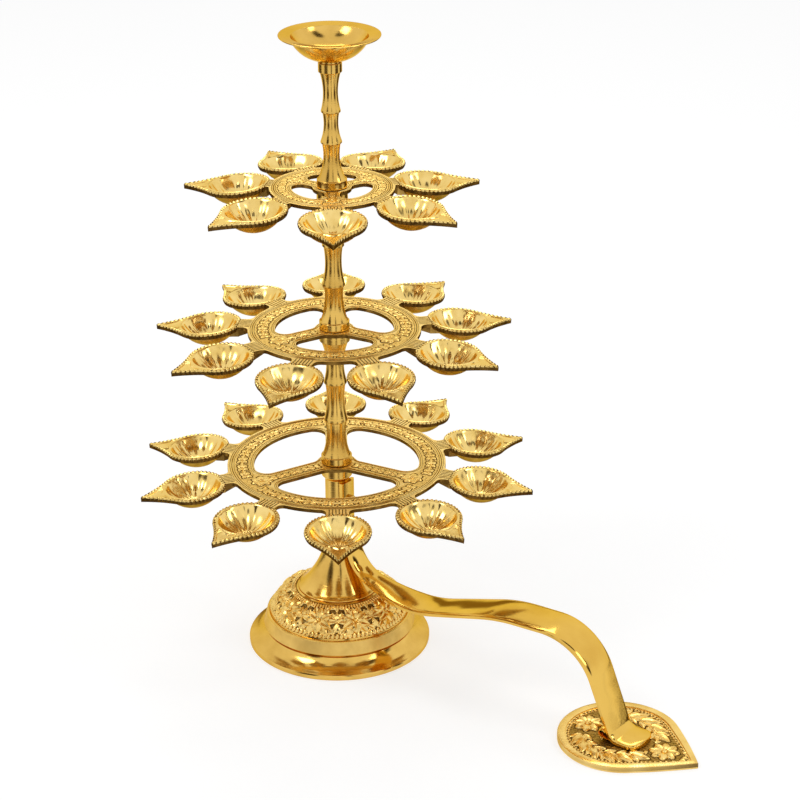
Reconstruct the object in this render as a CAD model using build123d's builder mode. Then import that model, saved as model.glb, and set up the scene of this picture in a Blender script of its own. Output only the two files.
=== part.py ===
from build123d import *
import os
from collections import namedtuple
from math import atan2, cos, hypot, pi, radians, sin, sqrt, tan

# Aarti lamp in cast and turned brass, in millimetres. The origin is the middle of the foot on the
# table, +Z is up the column and +X runs along the handle to its leaf plate.

# Foot: a hollow casting with a flange, a leaning drum wall and a dome
drum_top_radius = 41.4
drum_lean = 2.3
drum_top = 19.2
drum_lip = 0.9
cove_step = 1.3
cove_height = 9.4
cove_rise = 1.4
flange_reach = 10.0
flange_edge = 3.2
flange_hollow = 0.8
dome_top = 34.0
dome_bulge = 2.4
shell_wall = 3.2
drum_radius = drum_top_radius + drum_lean
cove_radius = drum_radius - cove_step
flange_radius = cove_radius + flange_reach

# Pedestal: a solid turned bell with a plain neck and a collar under the first tier
bell_radius = 23.2
bell_lip = 1.2
flare_height = 38.0
neck_radius = 6.8
pedestal_height = 76.5
collar_radius = 8.7
collar_height = 5.5
collar_slope = 2.2

# Screwed joints on the axis
stud_radius = 3.0
stud_reach = 9.0
thread_gap = 0.05
hole_runout = 1.0
washer_radius = 9.0
washer_thickness = 1.5
nut_across_flats = 10.0
nut_height = 5.0
stud_tail = 1.5

# Tiers: flat rings with spokes, which turn on a spigot of the column above
plate_thickness = 2.0
spigot_radius = 5.2
swivel_gap = 0.06
swivel_play = 0.3
front_turn = -51.5
spoke_count = 3
neck_width = 12.4
neck_fillet = 4.0
neck_land = 0.4
web_root = 6.0
web_width = 7.0
web_depth = 6.8
diya_droop = 4.0

# Columns: turned balusters with two nodes, like bamboo
column_foot_height = 4.4
node_band = 0.8
node_step = 0.7
waist_swell = 0.6
cap_height = 5.2

# Diyas: leaf-shaped lamps with a round bowl and a flat pointed lip
bowl_radius = 15.2
bowl_depth = 10.0
diya_wall = 1.6
rim_ledge = 1.5
rim_thickness = 2.8
rear_cut = 1.2
lip_length = 12.4
lip_angle = 45.0
diya_radius = bowl_radius + diya_wall + rim_ledge
diya_rear = diya_radius - rear_cut
diya_tip = diya_radius + lip_length

# Camphor dish on top, on a stud that screws into the upper column
rim_radius = 27.2
rim_drop = 0.9
rim_edge = 1.0
mouth_radius = 20.7
dish_height = 15.0
dish_wall = 0.6
dish_floor = 4.4
dish_floor_radius = 5.0
dish_foot_radius = 5.8
dish_foot_height = 1.0
dish_bulge = 2.6
dish_stud_reach = 3.0
dish_thread = 7.5

# Handle: a bent strap from the pedestal's neck to a leaf-shaped plate on the table
strap_thickness = 3.2
pad_depth = 1.0
pad_length = 27.6
pad_gap = 0.5
pad_relief = 6.0
pad_half_width = 5.8
sweep_reach = 16.5
sweep_height = 47.5
sweep_half_width = 6.6
dip_reach = 56.0
dip_height = 37.5
dip_half_width = 10.8
crest_reach = 118.0
crest_height = 56.0
grip_half_width = 12.4
shoulder_reach = 170.0
shoulder_height = 58.5
landing_reach = 192.5
landing_half_width = 10.6
tongue_length = 16.0
tongue_round = 5.3
pad_bend = 30.0
sweep_bend = 24.0
dip_bend = 90.0
crest_bend = 100.0
shoulder_bend = 34.0
landing_bend = 6.0
bend_share = 0.48

# Screws that hold the strap to the neck and to the leaf plate
screw_radius = 2.0
screw_gap = 0.05
pad_screw_drop = 12.0
pad_screw_depth = 5.0
pad_screw_head = 3.4
pad_screw_head_height = 2.0
slot_width = 1.0
slot_depth = 0.9
leaf_screw_head = 3.8
leaf_screw_bite = 2.0

# Leaf plate under the handle's end, with a raised plain border
leaf_thickness = 2.8
leaf_border = 4.6
leaf_border_height = 0.8
leaf_radius = 33.5
leaf_lip = 15.5
leaf_lip_angle = 51.0
leaf_setback = 1.0
leaf_tip = leaf_radius + leaf_lip

Column = namedtuple("Column", "node foot waist lower_node upper_node lower_height upper_height cap length")
lower_column = Column("column_lower", 8.7, 5.0, 6.7, 6.5, 25.5, 48.5, 8.5, 79.2)
middle_column = Column("column_middle", 8.4, 4.6, 6.3, 6.1, 25.0, 48.0, 8.5, 79.5)
upper_column = Column("column_upper", 8.2, 4.0, 5.8, 5.3, 24.5, 41.5, 6.4, 68.7)

# Heights of the joints, each worked out from the pieces below it
bottom_seat = dome_top + pedestal_height
tier_stack = plate_thickness + swivel_play
middle_seat = bottom_seat + tier_stack + lower_column.length
top_seat = middle_seat + tier_stack + middle_column.length
dish_seat = top_seat + tier_stack + upper_column.length

Tier = namedtuple("Tier", "name diyas first_turn spoke_turn radius band hub spoke corner neck seat")
bottom_tier = Tier("bottom", 10, 0, 180, 61.7, 15.0, 11.0, 12.5, 7.0, 5.2, bottom_seat)
middle_tier = Tier("middle", 9, 180, 180, 47.9, 15.0, 10.8, 11.5, 6.0, 5.8, middle_seat)
top_tier = Tier("top", 7, 0, 0, 34.0, 12.0, 10.5, 8.0, 4.6, 1.7, top_seat)

# The strap's seat on the neck and its place on the leaf plate
collar_bottom = bottom_seat - collar_height
pad_reach = neck_radius - pad_depth
pad_top = collar_bottom - collar_slope - pad_gap
pad_screw_height = pad_top - pad_screw_drop
tongue_middle = landing_reach + tongue_length / 2
leaf_centre = landing_reach - leaf_setback


def save(piece, node):
    """Label a finished piece and write it to its own file."""
    piece.part.label = node
    export_step(piece.part, f"parts/{node}.step")


def axis_hole(z_low, z_high, radius):
    """Cut a round hole on the lamp's axis between two heights."""
    standing = (Align.CENTER, Align.CENTER, Align.MIN)
    with Locations((0, 0, z_low)):
        Cylinder(radius, z_high - z_low, align=standing, mode=Mode.SUBTRACT)


def leaf_outline(radius, rear, tip, join_angle):
    """Draw a leaf about its round centre, cut flat at the rear and drawn out to a tip at +X."""
    turn = radians(join_angle)
    left, right = ((radius * cos(turn), side * radius * sin(turn)) for side in (1, -1))
    rear_half = sqrt(radius**2 - rear**2)
    with BuildLine() as outline:
        TangentArc(left, (tip, 0), tangent=(sin(turn), -cos(turn)))
        TangentArc(right, (tip, 0), tangent=(sin(turn), cos(turn)))
        if rear < radius:
            ThreePointArc(right, (0, -radius), (-rear, -rear_half))
            Line((-rear, -rear_half), (-rear, rear_half))
            ThreePointArc((-rear, rear_half), (0, radius), left)
        else:
            ThreePointArc(right, (-radius, 0), left)
    return outline.edges()


def make_foot():
    ceiling = dome_top - shell_wall
    hollow_radius = drum_top_radius - shell_wall
    drum_bottom = cove_height + cove_rise
    dome_start = (drum_top_radius - drum_lip, drum_top)
    with BuildPart() as foot:
        with BuildSketch(Plane.XZ):
            with BuildLine():
                Polyline((0, 0), (flange_radius, 0), (flange_radius, flange_edge))
                SagittaArc((flange_radius, flange_edge), (cove_radius, cove_height), flange_hollow)
                Line((cove_radius, cove_height), (cove_radius, drum_bottom))
                Line((cove_radius, drum_bottom), (drum_radius, drum_bottom))
                Polyline((drum_radius, drum_bottom), (drum_top_radius, drum_top), dome_start)
                SagittaArc(dome_start, (bell_radius, dome_top), -dome_bulge)
                Polyline((bell_radius, dome_top), (0, dome_top), (0, 0))
            make_face()
        revolve(axis=Axis.Z)
        with BuildSketch(Plane.XZ):
            with BuildLine():
                Polyline((0, ceiling), (0, 0), (hollow_radius, 0), (hollow_radius, drum_top - shell_wall))
                Polyline((hollow_radius, drum_top - shell_wall), (bell_radius, ceiling), (0, ceiling))
            make_face()
        revolve(axis=Axis.Z, mode=Mode.SUBTRACT)
        axis_hole(ceiling, dome_top, stud_radius + thread_gap)
    save(foot, "base_foot")


def make_pedestal():
    lip_top = dome_top + bell_lip
    flare_start = (bell_radius - bell_lip, lip_top)
    flare_end = (neck_radius, dome_top + flare_height)
    collar_edge = (collar_radius, collar_bottom)
    hole_depth = stud_reach + hole_runout
    flat_length = pad_length + pad_relief + pad_gap
    with BuildPart() as pedestal:
        with BuildSketch(Plane.XZ):
            with BuildLine():
                Polyline((0, dome_top), (bell_radius, dome_top), (bell_radius, lip_top), flare_start)
                TangentArc(flare_end, flare_start, tangent=(0, -1))
                Polyline(flare_end, (neck_radius, collar_bottom - collar_slope), collar_edge)
                Polyline(collar_edge, (collar_radius, bottom_seat), (0, bottom_seat), (0, dome_top))
            make_face()
        revolve(axis=Axis.Z)
        axis_hole(dome_top, dome_top + hole_depth, stud_radius + thread_gap)
        axis_hole(bottom_seat - hole_depth, bottom_seat, stud_radius + thread_gap)
        with BuildSketch(Plane.YZ.offset(pad_reach)):
            with Locations((0, pad_top + pad_gap)):
                Rectangle(2 * neck_radius, flat_length, align=(Align.CENTER, Align.MAX))
        extrude(amount=neck_radius, mode=Mode.SUBTRACT)
        with BuildSketch(Plane.YZ.offset(pad_reach - pad_screw_depth - hole_runout)):
            with Locations((0, pad_screw_height)):
                Circle(screw_radius + screw_gap)
        extrude(amount=pad_screw_depth + hole_runout, mode=Mode.SUBTRACT)
    save(pedestal, "pedestal")


def make_foot_fastening():
    washer_top = dome_top - shell_wall
    nut_top = washer_top - washer_thickness
    nut_bottom = nut_top - nut_height
    with BuildPart() as washer:
        with BuildSketch(Plane.XY.offset(nut_top)):
            Circle(washer_radius)
            Circle(stud_radius + thread_gap, mode=Mode.SUBTRACT)
        extrude(amount=washer_thickness)
    save(washer, "foot_washer")
    with BuildPart() as nut:
        with BuildSketch(Plane.XY.offset(nut_bottom)):
            RegularPolygon(nut_across_flats / 2, 6, major_radius=False)
            Circle(stud_radius + thread_gap, mode=Mode.SUBTRACT)
        extrude(amount=nut_height)
    save(nut, "foot_nut")
    make_stud(nut_bottom - stud_tail, dome_top + stud_reach, "stud_foot")


def make_stud(z_low, z_high, node):
    with BuildPart() as stud:
        with BuildSketch(Plane.XY.offset(z_low)):
            Circle(stud_radius)
        extrude(amount=z_high - z_low)
    save(stud, node)


def make_column(column, seat, top_reach):
    """Turn one column: a spigot through the tier below it, a foot collar, two nodes and a cap."""
    shoulder = seat + tier_stack
    top = shoulder + column.length
    foot_top = shoulder + column_foot_height
    lower = shoulder + column.lower_height
    upper = shoulder + column.upper_height
    cap_bottom = top - cap_height
    swell = column.waist + waist_swell
    sections = (
        (column.foot - node_step, foot_top, swell, column.lower_node, lower),
        (column.lower_node, lower + node_band, column.waist, column.upper_node, upper),
        (column.upper_node, upper + node_band, column.waist, column.cap, cap_bottom),
    )
    with BuildPart() as turned:
        with BuildSketch(Plane.XZ):
            with BuildLine():
                Polyline((0, top), (0, seat), (spigot_radius, seat), (spigot_radius, shoulder))
                Polyline((spigot_radius, shoulder), (column.foot, shoulder), (column.foot, foot_top))
                Line((column.foot, foot_top), (column.foot - node_step, foot_top))
                for radius, start, waist, node_radius, end in sections:
                    under = (node_radius - node_step, end)
                    ThreePointArc((radius, start), (waist, (start + end) / 2), under)
                    Polyline(under, (node_radius, end), (node_radius, end + node_band))
                Polyline((column.cap, cap_bottom + node_band), (column.cap, top), (0, top))
            make_face()
        revolve(axis=Axis.Z)
        axis_hole(seat, seat + stud_reach + hole_runout, stud_radius + thread_gap)
        axis_hole(top - top_reach - hole_runout, top, stud_radius + thread_gap)
    save(turned, column.node)


def diya_planes(tier):
    """Rim planes of a tier's diyas: x runs from the end of the neck to the tip, dipping by the droop."""
    reach = tier.radius + tier.neck
    droop = radians(diya_droop)
    planes = []
    for place in range(tier.diyas):
        turn = radians(front_turn + tier.first_turn + 360 * place / tier.diyas)
        out_x, out_y = cos(turn), sin(turn)
        planes.append(
            Plane(
                origin=(reach * out_x, reach * out_y, tier.seat + plate_thickness),
                x_dir=(out_x * cos(droop), out_y * cos(droop), -sin(droop)),
                z_dir=(out_x * sin(droop), out_y * sin(droop), cos(droop)),
            )
        )
    return planes


def make_ring(tier):
    """Cast one tier: a ring with windows between its spokes, and a webbed neck for each diya."""
    rims = diya_planes(tier)
    top = tier.seat + plate_thickness
    neck_end = tier.radius + tier.neck
    trim = 2 * neck_width
    stub_end = neck_end + neck_width
    diya_turn = front_turn + tier.first_turn
    with BuildPart() as ring:
        with BuildSketch(Plane.XY.offset(tier.seat)) as outline:
            Circle(tier.radius)
            with PolarLocations(0, tier.diyas, start_angle=diya_turn):
                Rectangle(stub_end, neck_width, align=(Align.MIN, Align.CENTER))
            roots = outline.vertices().filter_by(lambda corner: hypot(corner.X, corner.Y) < neck_end)
            fillet(roots, min(neck_fillet, tier.neck - neck_land))
        extrude(amount=plate_thickness)
        for rim in rims:
            out = rim.z_dir * sin(radians(diya_droop)) + rim.x_dir * cos(radians(diya_droop))
            side = out.cross(Vector(0, 0, 1))
            with BuildSketch(Plane((0, 0, top), x_dir=out, z_dir=side)):
                with BuildLine():
                    Polyline(
                        (tier.radius - web_root, -plate_thickness),
                        (stub_end, -plate_thickness),
                        (stub_end, -web_depth),
                        (neck_end, -web_depth),
                        close=True,
                    )
                make_face()
            extrude(amount=web_width / 2, both=True)
        with Locations(*rims):
            Box(trim, trim, trim, align=(Align.MIN, Align.CENTER, Align.CENTER), mode=Mode.SUBTRACT)
        with BuildSketch(Plane.XY.offset(tier.seat)) as windows:
            Circle(tier.radius - tier.band)
            Circle(tier.hub, mode=Mode.SUBTRACT)
            with PolarLocations(0, spoke_count, start_angle=front_turn + tier.spoke_turn):
                Rectangle(tier.radius, tier.spoke, align=(Align.MIN, Align.CENTER), mode=Mode.SUBTRACT)
            fillet(windows.vertices(), tier.corner)
        extrude(amount=plate_thickness, mode=Mode.SUBTRACT)
        axis_hole(tier.seat, top, spigot_radius + swivel_gap)
    save(ring, f"tier_{tier.name}_ring")


def bowl_outline(radius, depth):
    """Draw half of a round bowl's section, from its lowest point on the axis up to its rim."""
    with BuildLine() as outline:
        TangentArc((0, -depth), (radius, 0), tangent=(1, 0))
        Polyline((radius, 0), (0, 0), (0, -depth))
    return outline.edges()


def cast_diya():
    """Cast one diya with the end of its neck at the origin: a leaf rim, a round belly and a root block."""
    centre = Plane((diya_rear, 0, 0))
    section = Plane((diya_rear, 0, 0), x_dir=(1, 0, 0), z_dir=(0, -1, 0))
    upright = Axis((diya_rear, 0, 0), (0, 0, 1))
    with BuildPart() as diya:
        with BuildSketch(centre):
            make_face(leaf_outline(diya_radius, diya_rear, diya_tip, lip_angle))
        extrude(amount=-rim_thickness)
        with BuildSketch(Plane.XY):
            Rectangle(diya_rear, web_width, align=(Align.MIN, Align.CENTER))
        extrude(amount=-web_depth)
        with BuildSketch(section):
            make_face(bowl_outline(bowl_radius + diya_wall, bowl_depth + diya_wall))
        revolve(axis=upright)
        with BuildSketch(section):
            make_face(bowl_outline(bowl_radius, bowl_depth))
        revolve(axis=upright, mode=Mode.SUBTRACT)
    return diya.part


def make_diyas(tier):
    """Set a copy of the diya on each rim plane of a tier."""
    diya = cast_diya()
    for number, rim in enumerate(diya_planes(tier), start=1):
        with BuildPart(rim) as placed:
            add(diya)
        save(placed, f"diya_{tier.name}_{number:02d}")


def make_dish():
    top = dish_seat + dish_height
    mouth = (mouth_radius, top - rim_drop)
    under_rim = (mouth_radius + dish_wall, top - rim_drop - rim_edge)
    foot_top = (dish_foot_radius, dish_seat + dish_foot_height)
    floor = dish_seat + dish_floor
    with BuildPart() as dish:
        with BuildSketch(Plane.XZ):
            with BuildLine():
                Polyline((0, floor), (0, dish_seat), (dish_foot_radius, dish_seat), foot_top)
                SagittaArc(foot_top, under_rim, -dish_bulge)
                Polyline(under_rim, (rim_radius, top - rim_edge), (rim_radius, top), mouth)
                SagittaArc(mouth, (dish_floor_radius, floor), dish_bulge)
                Line((dish_floor_radius, floor), (0, floor))
            make_face()
        revolve(axis=Axis.Z)
        axis_hole(dish_seat, dish_seat + dish_stud_reach + swivel_play, stud_radius + thread_gap)
    save(dish, "camphor_dish")
    make_stud(dish_seat - dish_thread, dish_seat + dish_stud_reach, "dish_stud")


def bend_radii(points, wanted):
    """Keep each bend's radius within what the two runs beside it can take."""
    radii = []
    for before, corner, after, radius in zip(points, points[1:], points[2:], wanted):
        run_in = hypot(corner[0] - before[0], corner[1] - before[1])
        run_out = hypot(after[0] - corner[0], after[1] - corner[1])
        heading_in = atan2(corner[1] - before[1], corner[0] - before[0])
        heading_out = atan2(after[1] - corner[1], after[0] - corner[0])
        turn = abs((heading_out - heading_in + pi) % (2 * pi) - pi)
        radii.append(min(radius, bend_share * min(run_in, run_out) / tan(turn / 2)))
    return radii


def make_strap():
    """Bend the strap in the XZ plane, then trim it to its outline seen from above."""
    pad_middle = pad_reach + strap_thickness / 2
    tongue_height = leaf_thickness + strap_thickness / 2
    tongue_end = landing_reach + tongue_length
    round_start = tongue_end - tongue_round
    round_middle = (round_start + tongue_round * sin(pi / 4), landing_half_width * cos(pi / 4))
    route = [
        (pad_middle, pad_top),
        (pad_middle, pad_top - pad_length),
        (sweep_reach, sweep_height),
        (dip_reach, dip_height),
        (crest_reach, crest_height),
        (shoulder_reach, shoulder_height),
        (landing_reach, tongue_height),
        (tongue_end, tongue_height),
    ]
    bends = [pad_bend, sweep_bend, dip_bend, crest_bend, shoulder_bend, landing_bend]
    edge = [
        (pad_reach - pad_depth, pad_half_width),
        (sweep_reach, sweep_half_width),
        (dip_reach, dip_half_width),
        (crest_reach, grip_half_width),
        (shoulder_reach - shoulder_bend, grip_half_width),
        (landing_reach, landing_half_width),
        (round_start, landing_half_width),
    ]
    with BuildPart() as strap:
        with BuildSketch(Plane.XZ):
            with BuildLine() as bent:
                FilletPolyline(*route, radius=bend_radii(route, bends))
            trace(bent.wires()[0], strap_thickness)
        extrude(amount=grip_half_width, both=True)
        with BuildSketch(Plane.XY):
            with BuildLine():
                Spline(*edge, tangents=((1, 0), (1, 0)))
                Line((edge[0][0], 0), edge[0])
                ThreePointArc(edge[-1], round_middle, (tongue_end, 0))
                mirror(about=Plane.XZ)
            make_face()
        extrude(amount=pad_top, mode=Mode.INTERSECT)
        with BuildSketch(Plane.YZ.offset(pad_reach - pad_depth)):
            with Locations((0, pad_screw_height)):
                Circle(screw_radius + screw_gap)
        extrude(amount=pad_depth + 2 * strap_thickness, mode=Mode.SUBTRACT)
        with BuildSketch(Plane.XY):
            with Locations((tongue_middle, 0)):
                Circle(screw_radius + screw_gap)
        extrude(amount=leaf_thickness + leaf_screw_bite, mode=Mode.SUBTRACT)
    save(strap, "handle_strap")


def make_pad_screw():
    head_seat = pad_reach + strap_thickness
    with BuildPart() as screw:
        with BuildSketch(Plane.YZ.offset(pad_reach - pad_screw_depth)):
            with Locations((0, pad_screw_height)):
                Circle(screw_radius)
        extrude(amount=pad_screw_depth + strap_thickness)
        with BuildSketch(Plane.YZ.offset(head_seat)):
            with Locations((0, pad_screw_height)):
                Circle(pad_screw_head)
        extrude(amount=pad_screw_head_height)
        with BuildSketch(Plane.YZ.offset(head_seat + pad_screw_head_height)):
            with Locations((0, pad_screw_height)):
                Rectangle(2 * pad_screw_head, slot_width)
        extrude(amount=-slot_depth, mode=Mode.SUBTRACT)
    save(screw, "handle_neck_screw")


def screw_outline(gap, top):
    """Draw half of the countersunk screw under the tongue, or its hole when a gap is given."""
    head, shank = leaf_screw_head + gap, screw_radius + gap
    with BuildLine() as outline:
        Polyline((0, 0), (head, 0), (shank, head - shank), (shank, top), (0, top), close=True)
    return outline.edges()


def make_leaf_plate():
    centre = Plane((leaf_centre, 0, 0))
    section = Plane((tongue_middle, 0, 0), x_dir=(1, 0, 0), z_dir=(0, -1, 0))
    upright = Axis((tongue_middle, 0, 0), (0, 0, 1))
    full_height = leaf_thickness + leaf_border_height
    with BuildPart() as plate:
        with BuildSketch(centre):
            make_face(leaf_outline(leaf_radius, leaf_radius, leaf_tip, leaf_lip_angle))
        extrude(amount=full_height)
        with BuildSketch(centre.offset(leaf_thickness)):
            make_face(leaf_outline(leaf_radius, leaf_radius, leaf_tip, leaf_lip_angle))
            offset(amount=-leaf_border, kind=Kind.INTERSECTION, mode=Mode.REPLACE)
        extrude(amount=leaf_border_height, mode=Mode.SUBTRACT)
        with BuildSketch(section):
            make_face(screw_outline(screw_gap, full_height))
        revolve(axis=upright, mode=Mode.SUBTRACT)
    save(plate, "leaf_plate")
    with BuildPart() as screw:
        with BuildSketch(section):
            make_face(screw_outline(0, leaf_thickness + leaf_screw_bite))
        revolve(axis=upright)
        with Locations((tongue_middle, 0, 0)):
            Box(2 * leaf_screw_head, slot_width, 2 * slot_depth, mode=Mode.SUBTRACT)
    save(screw, "leaf_screw")


os.makedirs("parts", exist_ok=True)
make_foot()
make_pedestal()
make_foot_fastening()
make_column(lower_column, bottom_seat, stud_reach)
make_column(middle_column, middle_seat, stud_reach)
make_column(upper_column, top_seat, dish_thread)
for tier in (bottom_tier, middle_tier, top_tier):
    make_stud(tier.seat - stud_reach, tier.seat + stud_reach, f"stud_{tier.name}")
    make_ring(tier)
    make_diyas(tier)
make_dish()
make_strap()
make_pad_screw()
make_leaf_plate()
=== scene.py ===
from collections import namedtuple
from math import atan2, copysign, cos, hypot, pi, radians, sin, sqrt, tan

import bmesh
import bpy
from mathutils import Matrix, Vector


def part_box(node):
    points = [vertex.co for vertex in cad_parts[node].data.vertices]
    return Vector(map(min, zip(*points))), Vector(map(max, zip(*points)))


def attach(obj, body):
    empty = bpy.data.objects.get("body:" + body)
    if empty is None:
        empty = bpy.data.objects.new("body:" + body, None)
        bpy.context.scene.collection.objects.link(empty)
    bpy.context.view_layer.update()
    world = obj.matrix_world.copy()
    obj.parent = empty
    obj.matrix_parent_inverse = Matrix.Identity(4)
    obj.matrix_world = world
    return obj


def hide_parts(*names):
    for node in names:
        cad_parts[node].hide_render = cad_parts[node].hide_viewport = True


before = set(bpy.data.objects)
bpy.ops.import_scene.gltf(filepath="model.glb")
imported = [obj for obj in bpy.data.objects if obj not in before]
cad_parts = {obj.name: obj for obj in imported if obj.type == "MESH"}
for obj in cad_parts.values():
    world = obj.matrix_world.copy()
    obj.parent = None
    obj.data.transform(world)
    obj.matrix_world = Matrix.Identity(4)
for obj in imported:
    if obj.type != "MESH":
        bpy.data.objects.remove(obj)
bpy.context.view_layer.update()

# Foot: a hollow brass casting, turned clean on the outside. It has a thin flange, a hollowed slope, a
# leaning drum wall with a bright top edge, and a dome that carries the embossing. It stands on the rim of
# its hollow.
foot_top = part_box("base_foot")[1] * 1000
flange_radius, dome_top = foot_top.x, foot_top.z
slope_foot, slope_head = (50.9, 3.5), (42.7, 9.3)
dome_foot, dome_head = (40.1, 19.0), (24.4, 33.4)
slope_hollow, dome_bulge, dome_ledge, drum_foot, drum_head = 0.9, 2.2, 0.6, 11.3, 18.3
hollow_radius, hollow_shoulder, shell_wall, stud_hole = 38.2, 16.0, 3.2, 3.05
crease = radians(32)
drum_wall = [
    (41.7, 9.7), (41.4, 10.2), (42.4, 10.6), (43.3, 10.8), (43.7, drum_foot),
    (41.9, drum_head), (41.7, 18.9), (41.2, 19.2), (40.6, 19.2),
]


def bow(start, end, rise, steps):
    """Points of an arc after its start. It stands off its chord by rise, to the left where positive."""
    along = Vector(end) - Vector(start)
    half = along.length / 2
    across = Vector((-along.y, along.x)).normalized()
    radius = (half**2 + rise**2) / (2 * abs(rise))
    points = []
    for step in range(1, steps + 1):
        reach = half * (2 * step / steps - 1)
        lift = copysign(sqrt(radius**2 - reach**2) - radius + abs(rise), rise)
        points.append(Vector(start) + along * step / steps + across * lift)
    return points


def lathe(profile, closed=False, steps=192):
    """Turn a profile of (radius, height) points round the lamp's axis."""
    bm = bmesh.new()
    verts = [bm.verts.new((radius, 0, height)) for radius, height in profile]
    edges = [bm.edges.new(pair) for pair in zip(verts, verts[1:])]
    if closed:
        edges.append(bm.edges.new((verts[-1], verts[0])))
    bmesh.ops.spin(
        bm, geom=verts + edges, cent=(0, 0, 0), axis=(0, 0, 1), dvec=(0, 0, 0),
        angle=2 * pi, steps=steps, use_merge=True,
    )
    bmesh.ops.remove_doubles(bm, verts=bm.verts, dist=0.001)
    bmesh.ops.recalc_face_normals(bm, faces=bm.faces)
    return bm


def as_mesh(bm, name):
    """Turn a finished form into mesh data."""
    mesh = bpy.data.meshes.new(name)
    bm.to_mesh(mesh)
    bm.free()
    return mesh


def show(name, data):
    """Put an object with its data into the scene."""
    shown = bpy.data.objects.new(name, data)
    bpy.context.scene.collection.objects.link(shown)
    return shown


def hang(bm, name, body, materials, replaced=()):
    """Shrink a piece drawn in millimetres to the frame's metres, and hang it on its body."""
    bmesh.ops.scale(bm, vec=(0.001, 0.001, 0.001), verts=bm.verts)
    mesh = as_mesh(bm, name)
    mesh.shade_smooth()
    mesh.set_sharp_from_angle(angle=crease)
    for material in materials:
        mesh.materials.append(material)
    piece = show(name, mesh)
    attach(piece, body)
    if replaced:
        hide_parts(*replaced)
    return piece


def adjust(node, values):
    """Set inputs of a shader node by their names."""
    for name, value in values.items():
        node.inputs[name].default_value = value


def pattern(material, kind, scale, detail=0.0):
    """Lay a texture over a brass, by its place on the piece."""
    tree = material.node_tree
    texture = tree.nodes.new(kind)
    adjust(texture, {"Scale": scale, "Detail": detail})
    tree.links.new(tree.nodes["place"].outputs["Object"], texture.inputs["Vector"])
    return texture


def metal(name, light, dark, tone_scale, roughness, roughness_spread):
    """Start a brass: two tones clouded together over the surface, and a polish that varies with them."""
    material = bpy.data.materials.new(name)
    material.use_nodes = True
    tree = material.node_tree
    shader = tree.nodes["Principled BSDF"]
    adjust(shader, {"Metallic": 1.0, "Specular Tint": (*(sqrt(share) for share in light), 1)})
    place = tree.nodes.new("ShaderNodeTexCoord")
    place.name = "place"
    cloud = pattern(material, "ShaderNodeTexNoise", tone_scale, 4.0)
    tones = tree.nodes.new("ShaderNodeValToRGB")
    tones.name = "tones"
    tones.color_ramp.elements[0].position = 0.35
    tones.color_ramp.elements[0].color = (*dark, 1)
    tones.color_ramp.elements[1].position = 0.65
    tones.color_ramp.elements[1].color = (*light, 1)
    polish = tree.nodes.new("ShaderNodeMapRange")
    adjust(polish, {"From Min": 0.3, "From Max": 0.7})
    adjust(polish, {"To Min": roughness + roughness_spread, "To Max": roughness})
    tree.links.new(cloud.outputs["Fac"], tones.inputs["Fac"])
    tree.links.new(tones.outputs["Color"], shader.inputs["Base Color"])
    tree.links.new(cloud.outputs["Fac"], polish.inputs["Value"])
    tree.links.new(polish.outputs["Result"], shader.inputs["Roughness"])
    return material


def relief(material, heights, strength, distance):
    """Raise a texture of a brass in its surface."""
    tree = material.node_tree
    bump = tree.nodes.new("ShaderNodeBump")
    adjust(bump, {"Strength": strength, "Distance": distance})
    tree.links.new(heights, bump.inputs["Height"])
    tree.links.new(bump.outputs["Normal"], tree.nodes["Principled BSDF"].inputs["Normal"])


def turned_brass():
    """Polished brass from the lathe, with the fine rings that the tool and the buff leave round it."""
    material = metal("turned_brass", (0.80, 0.51, 0.125), (0.66, 0.40, 0.085), 60, 0.10, 0.12)
    tree = material.node_tree
    rings = pattern(material, "ShaderNodeTexNoise", 1.0, 3.0)
    squeeze = tree.nodes.new("ShaderNodeMapping")
    adjust(squeeze, {"Scale": (20, 20, 1500)})
    tree.links.new(tree.nodes["place"].outputs["Object"], squeeze.inputs["Vector"])
    tree.links.new(squeeze.outputs["Vector"], rings.inputs["Vector"])
    relief(material, rings.outputs["Fac"], 0.12, 0.0004)
    return material


def shaded_ground_brass(name, light, dark):
    """The ground between raised work, punched with small dots, each darkened in its middle with painted
    shade of its pit.
    """
    material = metal(name, light, dark, 260, 0.36, 0.14)
    tree = material.node_tree
    dots = pattern(material, "ShaderNodeTexVoronoi", 850)
    tones = tree.nodes["tones"]
    tones.color_ramp.elements[0].position = 0.15
    tones.color_ramp.elements[1].position = 0.5
    tree.links.new(dots.outputs["Distance"], tones.inputs["Fac"])
    relief(material, dots.outputs["Distance"], 0.4, 0.0006)
    return material


turned = turned_brass()
# The dome's and the leaf plate's ground is dark all over: painted shade of the recess between raised work,
# with some patina.
shaded_ground = shaded_ground_brass("shaded_ground_brass", (0.32, 0.19, 0.045), (0.09, 0.05, 0.011))
satin = metal("satin_brass", (0.80, 0.53, 0.15), (0.70, 0.45, 0.12), 150, 0.30, 0.10)
ceiling = dome_top - shell_wall
foot = lathe(
    [
        (hollow_radius, 0), (flange_radius - 0.5, 0), (flange_radius, 0.5), (flange_radius, 2.5),
        (flange_radius - 0.4, 3.1), slope_foot, *bow(slope_foot, slope_head, slope_hollow, 12), *drum_wall,
        dome_foot, *bow(dome_foot, dome_head, -dome_bulge, 24), (23.6, dome_top), (stud_hole, dome_top),
        (stud_hole, ceiling), (23.2, ceiling), (hollow_radius, hollow_shoulder),
    ],
    closed=True,
)
# The dome, inside a plain ledge, takes the dark ground: painted shade with some patina. The drum wall takes
# the satin brass.
for face in foot.faces:
    spot = face.calc_center_median()
    reach = hypot(spot.x, spot.y)
    if spot.z > dome_foot[1] and dome_head[0] < reach < dome_foot[0] - dome_ledge:
        face.material_index = 1
    elif drum_foot < spot.z < drum_head and reach > dome_foot[0]:
        face.material_index = 2
hang(foot, "foot_casting", "stand", [turned, shaded_ground, satin], ["base_foot"])
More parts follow.
